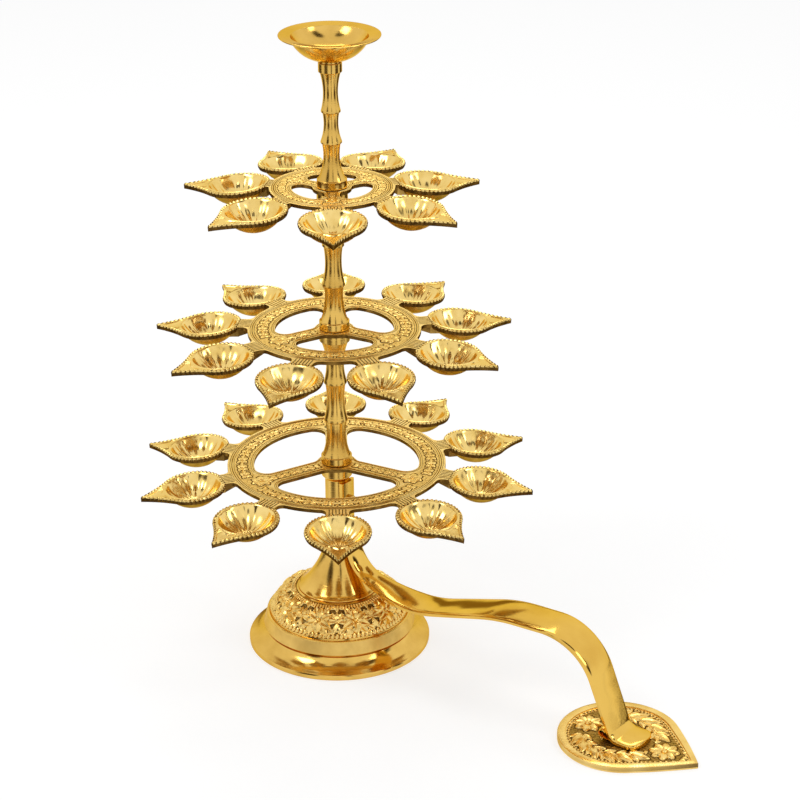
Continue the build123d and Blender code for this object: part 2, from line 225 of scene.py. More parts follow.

# Embossing of the dome: flowers with pointed petals, sprays of ribbed leaves between them and a fringe of
# small leaves at both edges, all raised in the casting on a ground dark with painted shade and some patina.
flower_count, petal_count, fringe_count, leaf_outline = 10, 6, 10, 0.6
dome_middle = (dome_foot[0] + dome_head[0]) / 2


def leaf_form(name, length, width, height, rib, taper):
    """Raise a leaf along +X from its stalk, with a sunk middle rib. A low taper draws out its tip."""
    bm = bmesh.new()
    bmesh.ops.create_uvsphere(bm, u_segments=12, v_segments=8, radius=1)
    bmesh.ops.rotate(bm, verts=bm.verts, cent=(0, 0, 0), matrix=Matrix.Rotation(pi / 2, 3, "Y"))
    for vert in bm.verts:
        along, across, up = 1 - max((1 - vert.co.x) / 2, 0) ** taper, vert.co.y, vert.co.z
        sink = rib if up > 0 and abs(across) < 0.1 * max(up, 0.01) else 0
        vert.co = (
            along * length,
            across * width / 2 * (1.2 - 0.45 * along),
            (up - sink * up) * height if up > 0 else 0.3 * up * height,
        )
    return as_mesh(bm, name)


def chased_leaf(name, length, width, height, rib, taper):
    """A raised leaf, and round it a flat dark outline: painted shade of the groove that the chaser's tool
    cuts, with some patina.
    """
    margin = 2 * leaf_outline
    raised = leaf_form(name, length, width, height, rib, taper)
    return raised, leaf_form(f"{name}_outline", length + margin, width + margin, 0.07, 0.0, taper)


def bead_form(name, radius, height):
    """Raise a round bead, flattened on to its ground."""
    bm = bmesh.new()
    bmesh.ops.create_uvsphere(bm, u_segments=10, v_segments=6, radius=1)
    bmesh.ops.scale(bm, vec=(radius, radius, height), verts=bm.verts)
    return as_mesh(bm, name)


def strew(bm, form, x, y, turn=0.0, size=1.0, lift=0.0, material=0):
    """Set one raised form into a flat strip of ornament."""
    first_vert, first_face = len(bm.verts), len(bm.faces)
    bm.from_mesh(form)
    bm.verts.ensure_lookup_table()
    bm.faces.ensure_lookup_table()
    place = Matrix.Translation((x, y, lift)) @ Matrix.Rotation(turn, 4, "Z") @ Matrix.Scale(size, 4)
    bmesh.ops.transform(bm, matrix=place, verts=bm.verts[first_vert:])
    for face in bm.faces[first_face:]:
        face.material_index = material


def chase(bm, leaf, x, y, turn, size=1.0, lift=0.0):
    """Set a raised leaf with its outline."""
    raised, outline = leaf
    back = leaf_outline * size
    # The outline takes the second brass: painted shade of the groove, with some patina.
    strew(bm, outline, x - back * cos(turn), y - back * sin(turn), turn, size, 0.05, 1)
    strew(bm, raised, x, y, turn, size, lift)


def blossom(bm, petal, heart, x, y, petals, turn=0.0, size=1.0, gap=0.5):
    """Set a flower: petals round a bead."""
    for number in range(petals):
        angle = turn + 2 * pi * number / petals
        chase(bm, petal, x + gap * size * cos(angle), y + gap * size * sin(angle), angle, size)
    strew(bm, heart, x, y, size=size)


def cast_brass():
    """Cast brass with raised work, brushed bright, whose skin keeps the fine pits of the sand."""
    material = metal("cast_brass", (0.94, 0.67, 0.23), (0.80, 0.53, 0.15), 90, 0.16, 0.14)
    pits = pattern(material, "ShaderNodeTexNoise", 900, 3.0)
    relief(material, pits.outputs["Fac"], 0.25, 0.0003)
    return material


cast = cast_brass()
dome_line = [Vector(dome_foot), *bow(dome_foot, dome_head, -dome_bulge, 32)]
dome_length = sum((b - a).length for a, b in zip(dome_line, dome_line[1:]))
petal = chased_leaf("dome_petal", 7.5, 5.4, 1.9, 0.5, 0.8)
blade = chased_leaf("dome_blade", 7.4, 4.6, 1.4, 0.5, 0.62)
fringe = leaf_form("dome_fringe", 3.8, 2.1, 1.0, 0.3, 0.8)
heart = bead_form("dome_heart", 1.2, 1.6)
# A near-black brass for outlines, cuts and hatching: painted shade of grooves that are drawn flat, with some
# patina.
patina_and_shade = metal("patina_and_shade_brass", (0.17, 0.095, 0.022), (0.08, 0.042, 0.010), 400, 0.42, 0.15)


def wrap_dome(co):
    """Bend a flat strip round the dome: x goes round it, y up its slope and z stands out from it."""
    share = min(max(co.y / dome_length, 0), 0.999) * (len(dome_line) - 1)
    low = int(share)
    point = dome_line[low].lerp(dome_line[low + 1], share - low)
    along = dome_line[low + 1] - dome_line[low]
    out = Vector((along.y, -along.x)).normalized()
    radius, height = point + out * co.z
    angle = co.x / dome_middle
    return Vector((radius * cos(angle), radius * sin(angle), height))


embossing = bmesh.new()
pitch = 2 * pi * dome_middle / flower_count
sprays = [
    (0.5, 0.20, 90, 0.85), (0.46, 0.17, 140, 0.75), (0.54, 0.17, 40, 0.75), (0.5, 0.98, -90, 0.75),
    (0.45, 0.95, -146, 0.65), (0.55, 0.95, -34, 0.65), (0.24, 0.06, 60, 0.6), (0.76, 0.06, 120, 0.6),
    (0.5, 0.53, 90, 0.8), (0.44, 0.58, 118, 0.65), (0.56, 0.58, 62, 0.65),
]
for number in range(flower_count):
    middle = number * pitch
    for leaf in range(petal_count):
        turn = radians(90) + 2 * pi * (leaf + 0.5) / petal_count
        x, y = middle + 4.2 * cos(turn), 0.5 * dome_length + 4.2 * sin(turn)
        chase(embossing, blade, x, y, turn, 0.95, -0.2)
    for along, height, turn, size in sprays:
        chase(embossing, blade, middle + along * pitch, height * dome_length, radians(turn), size, -0.1)
    blossom(embossing, petal, heart, middle, 0.5 * dome_length, petal_count, turn=radians(90), gap=0.9)
    for tooth in range(fringe_count):
        x = middle + pitch * tooth / fringe_count
        strew(embossing, fringe, x, 0.03 * dome_length, radians(80), 0.95)
        strew(embossing, fringe, x, 0.985 * dome_length, radians(-84), 0.9)
for vert in embossing.verts:
    vert.co = wrap_dome(vert.co)
hang(embossing, "dome_embossing", "stand", [cast, patina_and_shade])

# Pedestal: a solid brass bell turned on the lathe, with a thin foot ring, a long hollow flare, a plain neck
# and a collar that carries the first tier. A stud holds it down on the dome.
pedestal_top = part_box("pedestal")[1].z * 1000
bell_radius, neck_radius, collar_radius = 23.2, 6.8, 8.7
flare_foot, flare_head = (bell_radius - 1.2, dome_top + 1.6), (neck_radius, dome_top + 38.0)
flare_hollow, collar_height, collar_slope = 4.0, 5.5, 2.2
collar_foot = pedestal_top - collar_height


def ease_edges(piece, width):
    """Round the turned or cast edges of a piece a little, so that they catch the light."""
    edge = piece.modifiers.new("edge", "BEVEL")
    edge.width = width / 1000
    edge.segments = 2
    edge.limit_method = "ANGLE"
    edge.angle_limit = crease
    return piece


pedestal = lathe(
    [
        (0, dome_top), (bell_radius, dome_top), (bell_radius + 0.2, dome_top + 0.5),
        (bell_radius, dome_top + 1.0), flare_foot, *bow(flare_foot, flare_head, flare_hollow, 24),
        (neck_radius, collar_foot - collar_slope), (collar_radius, collar_foot),
        (collar_radius, pedestal_top), (0, pedestal_top),
    ]
)
ease_edges(hang(pedestal, "bell_pedestal", "stand", [turned], ["pedestal"]), 0.2)

# Fastenings: stock brass studs on the axis, the nut and washer under the foot and the two screws of the
# handle. They are plain machined pieces and keep a duller face than the polished work.
fastenings = ["foot_washer", "foot_nut", "stud_foot", "stud_bottom", "stud_middle", "stud_top", "dish_stud"]
fastenings += ["handle_neck_screw", "leaf_screw"]


def dress(nodes, material):
    """Give frame pieces that keep their shape a brass of their own."""
    for node in nodes:
        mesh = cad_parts[node].data
        mesh.materials.clear()
        mesh.materials.append(material)


dress(fastenings, metal("machined_brass", (0.70, 0.48, 0.16), (0.56, 0.37, 0.11), 200, 0.28, 0.14))

# Tiers: flat cast rings with three spokes and a short webbed neck for each lamp. Their tops are filed flat,
# punched with dots, and cut with two fine lines round the rim and one round each window. They turn on the
# spigots of the columns.
Tier = namedtuple("Tier", "name diyas first_turn spoke_turn radius band hub spoke corner neck top")
front_turn, spokes = -51.5, 3


def measured_tier(name, *sizes):
    """A tier with its sizes, and the height of its top from the frame."""
    return Tier(name, *sizes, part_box(f"tier_{name}_ring")[1].z * 1000)


tiers = [
    measured_tier("bottom", 10, 0, 180, 61.7, 15.0, 11.0, 12.5, 7.0, 5.2),
    measured_tier("middle", 9, 180, 180, 47.9, 15.0, 10.8, 11.5, 6.0, 5.8),
    measured_tier("top", 7, 0, 0, 34.0, 12.0, 10.5, 8.0, 4.6, 1.7),
]


def spoke_bearing(tier, number):
    """The direction of one of a tier's spokes."""
    return radians(front_turn + tier.spoke_turn) + 2 * pi * number / spokes


def lamp_bearing(tier, number):
    """The direction of one of a tier's lamps."""
    return radians(front_turn + tier.first_turn + 360 * number / tier.diyas)


def swing(bm, verts, turn):
    """Turn points of a form about the lamp's axis."""
    bmesh.ops.rotate(bm, verts=verts, cent=(0, 0, 0), matrix=Matrix.Rotation(turn, 3, "Z"))


def plate_brass():
    """Filed cast brass, punched with a fine stipple."""
    material = metal("plate_brass", (0.94, 0.69, 0.26), (0.82, 0.57, 0.18), 180, 0.30, 0.14)
    dots = pattern(material, "ShaderNodeTexVoronoi", 1000)
    relief(material, dots.outputs["Distance"], 0.3, 0.0005)
    return material


plate = plate_brass()
# The rings' ground keeps a light brass, and only its punched dots are darkened with painted shade of their
# pits.
ring_shaded_ground = shaded_ground_brass("ring_shaded_ground", (0.86, 0.60, 0.19), (0.50, 0.32, 0.08))
# A dark brass for the rings' upright sides: painted shade, as these faces turn from the light.
shaded_edge_brass = metal("shaded_edge_brass", (0.30, 0.165, 0.034), (0.13, 0.065, 0.013), 220, 0.30, 0.14)
dress([f"tier_{tier.name}_ring" for tier in tiers], plate)
for tier in tiers:
    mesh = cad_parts[f"tier_{tier.name}_ring"].data
    mesh.materials.append(shaded_edge_brass)
    # Upright faces of each ring take the painted shade; the flat tops keep the plate brass.
    for face in mesh.polygons:
        face.material_index = int(abs(face.normal.z) < 0.5)


def window_path(tier, setback, arc_steps=10):
    """Points round one window of a tier, from its first spoke on, set back into the brass."""
    outer, inner = tier.radius - tier.band + setback, tier.hub - setback
    half, corner = tier.spoke / 2 - setback, tier.corner + setback
    share = pi / spokes
    near = Vector((sqrt((inner + corner) ** 2 - (half + corner) ** 2), half + corner))
    far = Vector((sqrt((outer - corner) ** 2 - (half + corner) ** 2), half + corner))
    near_turn, far_turn = atan2(near.y, near.x), atan2(far.y, far.x)
    sweeps = [
        (Vector((0, 0)), inner, share, near_turn),
        (near, corner, near_turn + pi, 1.5 * pi),
        (far, corner, 1.5 * pi, 2 * pi + far_turn),
        (Vector((0, 0)), outer, far_turn, share),
    ]
    half_path = []
    for centre, radius, start, end in sweeps:
        for step in range(arc_steps):
            turn = start + (end - start) * step / arc_steps
            half_path.append(centre + radius * Vector((cos(turn), sin(turn))))
    mirrored = []
    for point in half_path[:0:-1]:
        turn = 2 * share - atan2(point.y, point.x)
        mirrored.append(point.length * Vector((cos(turn), sin(turn))))
    return half_path + [outer * Vector((cos(share), sin(share)))] + mirrored


def circle_path(radius, steps=160):
    """Points round a circle on the lamp's axis."""
    turns = [2 * pi * step / steps for step in range(steps)]
    return [radius * Vector((cos(turn), sin(turn))) for turn in turns]


def cord_line(bm, paths, heights, material):
    """Raise a closed line in the brass across neighbouring closed paths, each at its own height."""
    loops = []
    for path, height in zip(paths, heights):
        verts = [bm.verts.new((point.x, point.y, height)) for point in path]
        loops.append([bm.edges.new(pair) for pair in zip(verts, verts[1:] + verts[:1])])
    for first, second in zip(loops, loops[1:]):
        made = bmesh.ops.bridge_loops(bm, edges=first + second)
        for face in made["faces"]:
            face.material_index = material


def spun(path, turn):
    """Turn a path about the lamp's axis."""
    return [Vector((p.x * cos(turn) - p.y * sin(turn), p.x * sin(turn) + p.y * cos(turn))) for p in path]


line_width, line_height, field_rim, field_edge = 0.5, 0.28, 3.8, 2.1
line_sides = [line_width * share for share in (-1.3, -0.8, 0, 0.8, 1.3)]


def cut_line(bm, paths):
    """Raise a cord along the middle of five paths, with a flat dark strip on either side: painted shade of
    the cut.
    """
    cord_line(bm, paths[:2], (0.03, 0.03), 1)
    cord_line(bm, paths[1:4], (0.03, line_height, 0.03), 0)
    cord_line(bm, paths[3:], (0.03, 0.03), 1)


for tier in tiers:
    lines = bmesh.new()
    outer, inner = tier.radius - field_rim, tier.radius - tier.band + field_edge
    cord_line(lines, [circle_path(outer), circle_path(inner)], (0.02, 0.02), 2)
    for spoke in range(spokes):
        turn = spoke_bearing(tier, spoke)
        field = bmesh.ops.create_grid(lines, x_segments=1, y_segments=1, size=0.5)["verts"]
        bmesh.ops.scale(lines, vec=(inner + 0.5, tier.spoke - 2 * field_edge, 1), verts=field)
        bmesh.ops.translate(lines, vec=((inner + 0.5) / 2, 0, 0.015), verts=field)
        swing(lines, field, turn)
        for face in {face for vert in field for face in vert.link_faces}:
            face.material_index = 2
    for setback in (1.9, 3.1):
        cut_line(lines, [circle_path(tier.radius - setback - side) for side in line_sides])
    for window in range(spokes):
        turn = spoke_bearing(tier, window)
        cut_line(lines, [spun(window_path(tier, 1.3 + side), turn) for side in line_sides])
    bmesh.ops.recalc_face_normals(lines, faces=lines.faces)
    for face in lines.faces:
        if face.normal.z < 0:
            face.normal_flip()
    bmesh.ops.translate(lines, vec=(0, 0, tier.top), verts=lines.verts)
    hang(lines, f"{tier.name}_ring_lines", f"{tier.name}_tier", [cast, patina_and_shade, ring_shaded_ground])

# Vines of the tiers: a large flower where each spoke meets the ring, and from it leafy stems round the ring
# and in along the spoke. They are cut with a graver; the dark outline round each leaf is painted shade of
# the cut, with some patina. The necks are hatched with dark strokes, painted shade of the grooves.
ring_petal = chased_leaf("ring_petal", 4.8, 3.9, 0.75, 0.35, 0.9)
vine_leaf = chased_leaf("vine_leaf", 3.9, 3.1, 0.55, 0.4, 0.9)
bud = chased_leaf("vine_bud", 3.0, 1.7, 0.6, 0.0, 0.8)
stalk = leaf_form("vine_stalk", 5.0, 0.8, 0.45, 0.0, 1.0)
vine_heart = bead_form("vine_heart", 1.1, 0.75)
hatch_pitch, hatch_width, hatch_count = 1.8, 0.5, 6


def vine_run(bm, start, end, step, size, spread):
    """Grow a stem along +X with four spread leaves at each step and a pair of buds between them."""
    count = max(1, round((end - start) / step))
    step = (end - start) / count
    for number in range(count):
        x = start + (number + 0.5) * step
        for turn in (spread, pi - spread, pi + spread, -spread):
            chase(bm, vine_leaf, x + 0.5 * size * cos(turn), 0.5 * size * sin(turn), turn, size)
        strew(bm, vine_heart, x, 0, size=0.55 * size)
        for side in (-1, 1):
            chase(bm, bud, x + step / 2, side * 1.6 * size, side * radians(80), 0.6 * size)
        strew(bm, stalk, x, 0, 0, step / 5.0)


for tier in tiers:
    middle = tier.radius - 3.4 - (tier.band - 5.2) / 2
    size = (tier.band - 5.2) / 9.8
    third = 2 * pi * middle / spokes
    vines = bmesh.new()
    for spoke in range(spokes):
        turn = spoke_bearing(tier, spoke)
        strip = bmesh.new()
        for side in (0, pi):
            stem = bmesh.new()
            vine_run(stem, 6.4 * size, third / 2, 9.4 * size, 0.98 * size, radians(38))
            swing(stem, stem.verts, side)
            strip.from_mesh(as_mesh(stem, "stem"))
        for vert in strip.verts:
            angle = turn + vert.co.x / middle
            radius = middle + vert.co.y
            vert.co = (radius * cos(angle), radius * sin(angle), vert.co.z)
        branch = bmesh.new()
        junction = tier.radius - tier.band + 1.4
        slim = 0.9 * tier.spoke / 12.5
        vine_run(branch, tier.hub - 0.6, junction - 5.6 * size, 9.0 * size, slim, radians(30))
        blossom(branch, ring_petal, vine_heart, junction, 0, 7, size=1.12 * size, gap=0.9)
        swing(branch, branch.verts, turn)
        for grown in (strip, branch):
            vines.from_mesh(as_mesh(grown, "vine"))
    for place in range(tier.diyas):
        turn = lamp_bearing(tier, place)
        start, end = tier.radius - 0.9, tier.radius + tier.neck - 0.15
        # Each hatch stroke is a thin dark box: painted shade of a groove, drawn flat.
        for cut in range(hatch_count):
            across = (cut - (hatch_count - 1) / 2) * hatch_pitch
            groove = bmesh.ops.create_cube(vines, size=1)["verts"]
            bmesh.ops.scale(vines, vec=(end - start, hatch_width, 0.12), verts=groove)
            bmesh.ops.translate(vines, vec=((start + end) / 2, across, 0), verts=groove)
            swing(vines, groove, turn)
            for face in {face for vert in groove for face in vert.link_faces}:
                face.material_index = 1
    bmesh.ops.translate(vines, vec=(0, 0, tier.top), verts=vines.verts)
    hang(vines, f"{tier.name}_ring_vines", f"{tier.name}_tier", [cast, patina_and_shade])

# Diyas: cast brass lamps for oil and a wick. Each has a round bowl fluted like a shell, a flat pointed lip
# with a sunk panel, a rope-notched rim whose side and notches are dark with painted shade, and a root block
# that joins the neck of its tier.
bowl_radius, bowl_depth, diya_wall, rim_ledge = 15.2, 10.0, 1.6, 1.5
rear_cut, lip_length, lip_angle = 1.2, 12.4, 45.0
diya_radius = bowl_radius + diya_wall + rim_ledge
diya_rear, diya_tip = diya_radius - rear_cut, diya_radius + lip_length
belly_radius, belly_depth, rim_thickness = bowl_radius + diya_wall, bowl_depth + diya_wall, 2.8
root_width, root_depth, root_drop, root_head, root_foot, diya_droop = 7.0, 6.8, 0.4, 15.9, 11.4, 4.0
flutes, flute_depth, rope_pitch, rope_depth, rope_band = 14, 0.55, 2.5, 0.65, 1.8
panel_depth, around, bowl_steps, belly_steps = 0.45, 336, 15, 9


def leaf_reach(turn, radius, rear, tip, join_angle):
    """Reach of a leaf's outline from its round centre: a circle, flat at the rear and drawn out to a tip."""
    turn = abs((turn + pi) % (2 * pi) - pi)
    join = radians(join_angle)
    if turn >= join:
        return min(radius, rear / -cos(turn)) if cos(turn) < 0 else radius
    outward = Vector((cos(join), sin(join)))
    chord = radius * outward - Vector((tip, 0))
    bend = -chord.length_squared / (2 * outward.dot(chord))
    centre = (radius + bend) * outward
    ray = centre.dot(Vector((cos(turn), sin(turn))))
    return ray - copysign(sqrt(ray**2 - centre.length_squared + bend**2), bend)


def cap_radius(radius, depth, below):
    """Radius of a round bowl at a height below its rim."""
    sphere = (radius**2 + depth**2) / (2 * depth)
    return sqrt(max(sphere**2 - (sphere - depth + below) ** 2, 0))


def draw_ring(bm, edges, place, material=0):
    """Draw the open edge of a form out to its next ring, which place gives for each turn."""
    grown = bmesh.ops.extrude_edge_only(bm, edges=edges)["geom"]
    verts = [item for item in grown if isinstance(item, bmesh.types.BMVert)]
    for face in (item for item in grown if isinstance(item, bmesh.types.BMFace)):
        face.material_index = material
    for vert in verts:
        vert.co = place(atan2(vert.co.y, vert.co.x))
    fresh = set(verts)
    touched = {edge for vert in verts for edge in vert.link_edges}
    return [edge for edge in touched if set(edge.verts) <= fresh]


def polar(turn, radius, height):
    """A point at a turn and a radius from an upright axis."""
    return Vector((radius * cos(turn), radius * sin(turn), height))


turns = [2 * pi * step / around for step in range(around)]
outline = [leaf_reach(turn, diya_radius, diya_rear, diya_tip, lip_angle) for turn in turns]
corners = [polar(turn, reach, 0) for turn, reach in zip(turns, outline)]
lengths = [0.0]
for before, after in zip(corners, corners[1:]):
    lengths.append(lengths[-1] + (after - before).length)
rim_length = lengths[-1] + (corners[0] - corners[-1]).length
rope_step = rim_length / round(rim_length / rope_pitch)


def at(turn, values):
    """The value that belongs to a turn round a lamp."""
    return values[round(turn / (2 * pi) * around) % around]


def rope(turn):
    """How far the rope stands out at a turn: a row of rounded strands with sharp cuts between."""
    return rope_depth * abs(sin(pi * at(turn, lengths) / rope_step))


def flute(turn, share):
    """How far a shell ridge stands into the bowl. The ridges are cut by hand, so their spacing varies."""
    ridge = (1 + cos(flutes * turn + 0.9 * sin(3 * turn) + 0.5 * sin(5 * turn + 1))) / 2
    return flute_depth * (0.25 + 0.75 * sin(pi * share)) * ridge


def panel(turn, share, depth):
    """A point between the bowl's mouth and the rope, sunk by depth where the lip is wide."""
    inner, outer = bowl_radius + 0.6, at(turn, outline) - rope_band
    sunk = min(max((outer - inner - 2.5) / 3, 0), 1)
    return polar(turn, inner + (outer - inner) * share, -depth * sunk)


def close_ring(bm, edges, height):
    """Gather an open edge into a point on the axis."""
    verts = {vert for edge in edges for vert in edge.verts}
    bmesh.ops.pointmerge(bm, verts=list(verts), merge_co=(0, 0, height))


def bowl_point(turn, step):
    """A point inside the bowl, some steps of the way from its mouth to its bottom."""
    below = bowl_depth * sin(pi / 2 * step / bowl_steps)
    radius = cap_radius(bowl_radius, bowl_depth, below)
    return polar(turn, radius - min(flute(turn, step / bowl_steps), radius / 6), -below)


def rope_point(turn, inset, swing, height, lift):
    """A point on the rope: set in from the outline, and swung in and lifted with its strands."""
    reach = at(turn, outline) - inset - swing * (rope_depth - rope(turn))
    return polar(turn, reach, height + lift * (rope(turn) - 0.2))


def cast_diya():
    """Cast one lamp about the centre of its bowl."""
    bm = bmesh.new()
    bmesh.ops.create_circle(bm, cap_ends=False, segments=around, radius=bowl_radius)
    mouth = list(bm.edges)
    edge = mouth
    for step in range(1, bowl_steps):
        edge = draw_ring(bm, edge, lambda turn: bowl_point(turn, step))
    close_ring(bm, edge, -bowl_depth)
    edge = draw_ring(bm, mouth, lambda turn: polar(turn, bowl_radius + 0.25, 0.18))
    for share, sunk in ((0.0, 0), (0.16, 0), (0.22, 1), (0.80, 1), (0.86, 0), (1.0, 0)):
        edge = draw_ring(bm, edge, lambda turn: panel(turn, share, sunk * panel_depth))
    for strand in ((1.2, 0, -0.1, 0.8), (0.7, 0, 0, 1), (0.35, 0.5, -0.1, 0.8), (0, 1, -0.7, 0)):
        edge = draw_ring(bm, edge, lambda turn: rope_point(turn, *strand))
    # The rim's side band takes the dark rim brass: painted shade.
    for swing, height in ((0.9, -1.5), (0, -rim_thickness)):
        edge = draw_ring(bm, edge, lambda turn: polar(
            turn, at(turn, outline) - rope_depth + swing * rope(turn), height
        ), 1)
    # Faces in the cuts between the rope's strands take the same painted shade.
    for face in bm.faces:
        spot = face.calc_center_median()
        turn = atan2(spot.y, spot.x) % (2 * pi)
        strand = rope(turn) / rope_depth
        if hypot(spot.x, spot.y) > at(turn, outline) - 1.3 - rope_depth and spot.z > -1.0 and strand < 0.35:
            face.material_index = 1
    # The belly under the rim takes the third brass, darker with painted shade.
    top = cap_radius(belly_radius, belly_depth, rim_thickness)
    edge = draw_ring(bm, edge, lambda turn: polar(turn, top, -rim_thickness), 2)
    for step in range(1, belly_steps):
        below = rim_thickness + (belly_depth - rim_thickness) * sin(pi / 2 * step / belly_steps)
        radius = cap_radius(belly_radius, belly_depth, below)
        edge = draw_ring(bm, edge, lambda turn: polar(turn, radius, -below), 2)
    close_ring(bm, edge, -belly_depth)
    bmesh.ops.recalc_face_normals(bm, faces=bm.faces)
    root = bmesh.ops.create_cube(bm, size=1)["verts"]
    # The root block takes the belly's brass, darker with painted shade.
    for face in {face for vert in root for face in vert.link_faces}:
        face.material_index = 2
    for vert in root:
        deep, inward = vert.co.z < 0, vert.co.x > 0
        reach = (root_foot if deep else root_head) if inward else diya_rear
        vert.co = (-reach, vert.co.y * root_width, -root_depth if deep else -root_drop)
    return as_mesh(bm, "diya")


def bowl_brass():
    """Brass polished bright in the bowl, with soft brush marks."""
    material = metal("bowl_brass", (0.92, 0.68, 0.25), (0.80, 0.55, 0.16), 120, 0.12, 0.12)
    marks = pattern(material, "ShaderNodeTexNoise", 350, 2.0)
    relief(material, marks.outputs["Fac"], 0.05, 0.0006)
    return material


bowl = bowl_brass()
# A near-black brass for the rim's side and rope cuts: painted shade.
shaded_rim_brass = metal("shaded_rim_brass", (0.20, 0.105, 0.022), (0.09, 0.045, 0.010), 260, 0.34, 0.14)
# The belly's brass has a duller polish, and its darker colour is painted shade under the bowl.
shaded_belly = metal("shaded_belly_brass", (0.58, 0.36, 0.095), (0.34, 0.20, 0.048), 130, 0.26, 0.14)
diya = cast_diya()
for tier in tiers:
    for place in range(tier.diyas):
        turn = lamp_bearing(tier, place)
        neck_end = polar(turn, tier.radius + tier.neck, tier.top)
        seat = (
            Matrix.Translation(neck_end)
            @ Matrix.Rotation(turn, 4, "Z")
            @ Matrix.Rotation(radians(diya_droop), 4, "Y")
            @ Matrix.Translation((diya_rear, 0, 0))
        )
        lamp = bmesh.new()
        lamp.from_mesh(diya)
        bmesh.ops.transform(lamp, matrix=seat, verts=lamp.verts)
        node = f"diya_{tier.name}_{place + 1:02d}"
        name = f"lamp_{tier.name}_{place + 1:02d}"
        hang(lamp, name, f"{tier.name}_tier", [bowl, shaded_rim_brass, shaded_belly], [node])

# Columns: turned brass balusters with two nodes, like bamboo. Each stands on a foot collar above its tier,
# with its spigot through the ring, and spreads to a cap under the next piece.
Column = namedtuple("Column", "node foot waist lower_node upper_node lower_height upper_height cap")
columns = [
    Column("column_lower", 8.7, 5.0, 6.7, 6.5, 25.5, 48.5, 8.5),
    Column("column_middle", 8.4, 4.6, 6.3, 6.1, 25.0, 48.0, 8.5),
    Column("column_upper", 8.2, 4.0, 5.8, 5.3, 24.5, 41.5, 6.4),
]
tier_stack, spigot_radius, column_foot_height, cap_height = 2.3, 5.2, 4.4, 5.2
node_band, node_step, waist_swell = 0.8, 0.7, 0.6

for column in columns:
    low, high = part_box(column.node)
    seat, top = low.z * 1000, high.z * 1000
    shoulder = seat + tier_stack
    foot_head = shoulder + column_foot_height
    lower, upper = shoulder + column.lower_height, shoulder + column.upper_height
    sections = [
        (column.foot - node_step, foot_head, column.waist + waist_swell, column.lower_node, lower),
        (column.lower_node, lower + node_band, column.waist, column.upper_node, upper),
        (column.upper_node, upper + node_band, column.waist, column.cap, top - cap_height),
    ]
    profile = [(0, seat), (spigot_radius, seat), (spigot_radius, shoulder), (column.foot, shoulder)]
    profile += [(column.foot, foot_head), (column.foot - node_step, foot_head)]
    for radius, start, waist, node_radius, end in sections:
        under = (node_radius - node_step, end)
        profile += bow((radius, start), under, (radius + under[0]) / 2 - waist, 20)
        profile += [(node_radius, end), (node_radius, end + node_band)]
    profile += [(column.cap, top), (0, top)]
    baluster = lathe(profile, steps=128)
    name = column.node.replace("column", "baluster")
    ease_edges(hang(baluster, name, "stand", [turned], [column.node]), 0.25)

# Camphor dish: a small spun and turned brass bowl with a flat, slightly dished rim. It screws on to the top
# of the upper column by a stud, with a joint line under its foot.
dish_low, dish_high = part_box("camphor_dish")
dish_seat, dish_top, rim_radius = dish_low.z * 1000, dish_high.z * 1000, dish_high.x * 1000
mouth, under_rim = (20.7, dish_top - 0.9), (21.3, dish_top - 1.9)
dish_foot, dish_floor, dish_bulge = (5.8, dish_seat + 1.0), (5.0, dish_seat + 4.4), 2.6
dish = lathe(
    [
        (0, dish_seat), (5.8, dish_seat), dish_foot, *bow(dish_foot, under_rim, -dish_bulge, 20),
        (rim_radius - 0.3, dish_top - 1.0), (rim_radius, dish_top - 0.7), (rim_radius, dish_top - 0.2),
        (rim_radius - 0.3, dish_top), mouth, *bow(mouth, dish_floor, dish_bulge, 20),
        (0, dish_floor[1] - 0.1),
    ]
)
ease_edges(hang(dish, "turned_dish", "dish", [turned], ["camphor_dish"]), 0.25)

# Handle: a thick brass strap, rolled, bent by hand and polished to a mirror. It is screwed to the
# pedestal's neck, sweeps out and up into the grip, and ends in a rounded tongue and a small curl on the leaf
# plate.
strap_thickness, crown, edge_round, tongue_round, bend_share = 3.2, 0.8, 0.8, 5.3, 0.48
route = [(7.4, 102.3), (7.4, 74.7), (16.5, 47.5), (56.0, 37.5), (118.0, 56.0), (170.0, 58.5)]
route += [(192.5, 4.4), (208.5, 4.4)]
bends = [30.0, 24.0, 90.0, 100.0, 34.0, 6.0]
widths = [(7.4, 5.8), (16.5, 6.6), (56.0, 10.8), (118.0, 12.4), (136.0, 12.4), (192.5, 10.6), (203.2, 10.6)]
curl_centre, curl_radius, curl_half, curl_thickness, curl_sweep = (186.6, 6.7), 2.6, 10.2, 1.7, 235


def bent_line(points, radii, arc_steps):
    """A line of straight runs with a round bend at each corner, as points with their headings."""
    line = [(Vector(points[0]), (Vector(points[1]) - Vector(points[0])).normalized())]
    for before, corner, after, wanted in zip(points, points[1:], points[2:], radii):
        run_in, run_out = Vector(corner) - Vector(before), Vector(after) - Vector(corner)
        way_in, way_out = run_in.normalized(), run_out.normalized()
        turn = way_in.angle_signed(way_out)
        reach = min(wanted * tan(abs(turn) / 2), bend_share * min(run_in.length, run_out.length))
        radius = reach / tan(abs(turn) / 2)
        side = -copysign(1, turn)
        centre = Vector(corner) - way_in * reach + radius * side * Vector((-way_in.y, way_in.x))
        for step in range(arc_steps + 1):
            share = abs(turn) * step / arc_steps * side
            way = Matrix.Rotation(share, 2) @ way_in
            line.append((centre - radius * side * Vector((-way.y, way.x)), way))
    line.append((Vector(points[-1]), (Vector(points[-1]) - Vector(points[-2])).normalized()))
    return line


